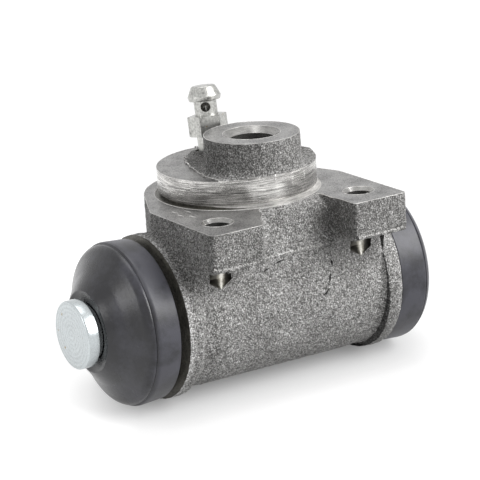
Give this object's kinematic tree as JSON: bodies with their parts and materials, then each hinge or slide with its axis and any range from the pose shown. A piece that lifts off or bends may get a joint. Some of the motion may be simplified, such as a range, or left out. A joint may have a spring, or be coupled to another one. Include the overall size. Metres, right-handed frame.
{
  "type": "wheel cylinder",
  "caption": "Cast-iron drum-brake wheel cylinder: opposed pistons with flat noses in rubber dust boots, a mounting face with lugs and round register, a threaded inlet boss and a bleed screw.",
  "frame": {"origin": "centre of the round register, on the machined mounting face", "axes": "+X along the bore towards the right piston, +Z out of the mounting face along the register towards the inlet boss, +Y from the lugs towards the bleed screw"},
  "size_m": [0.08, 0.0459, 0.0567],
  "materials": {
    "cast_iron": "sand-cast grey skin, with bare machined pad, register, boss top and end shoulders",
    "zinc_plate": "bright zinc plate over turned steel",
    "spring_steel": "oiled spring steel",
    "seal_rubber": "smooth black rubber",
    "boot_rubber": "moulded grey-black rubber with a faint sheen"
  },
  "bodies": {
    "housing": {"body_casting": "cast_iron", "return_spring": "spring_steel", "left_dust_boot": "boot_rubber", "right_dust_boot": "boot_rubber"},
    "left_piston_group": {"left_piston": "zinc_plate", "left_cup_seal": "seal_rubber", "left_cup_expander": "spring_steel"},
    "right_piston_group": {"right_piston": "zinc_plate", "right_cup_seal": "seal_rubber", "right_cup_expander": "spring_steel"},
    "bleed_screw_group": {"bleed_screw": "zinc_plate"}
  },
  "joints": [
    {"name": "left_piston_slide", "type": "slide", "parent": "housing", "child": "left_piston_group", "axis": [-1, 0, 0], "range_m": [-0.0046, 0.0039], "stiffness_N_per_m": 600, "deforming": ["left_dust_boot", "return_spring"]},
    {"name": "right_piston_slide", "type": "slide", "parent": "housing", "child": "right_piston_group", "axis": [1, 0, 0], "range_m": [-0.001, 0.0075], "stiffness_N_per_m": 600, "deforming": ["right_dust_boot", "return_spring"]},
    {"name": "bleed_screw_turn", "type": "hinge", "parent": "housing", "child": "bleed_screw_group", "pos_m": [0, 0.0092, 0.0055], "axis": [0, 0.1392, 0.9903], "range_deg": [0, 360]}
  ]
}
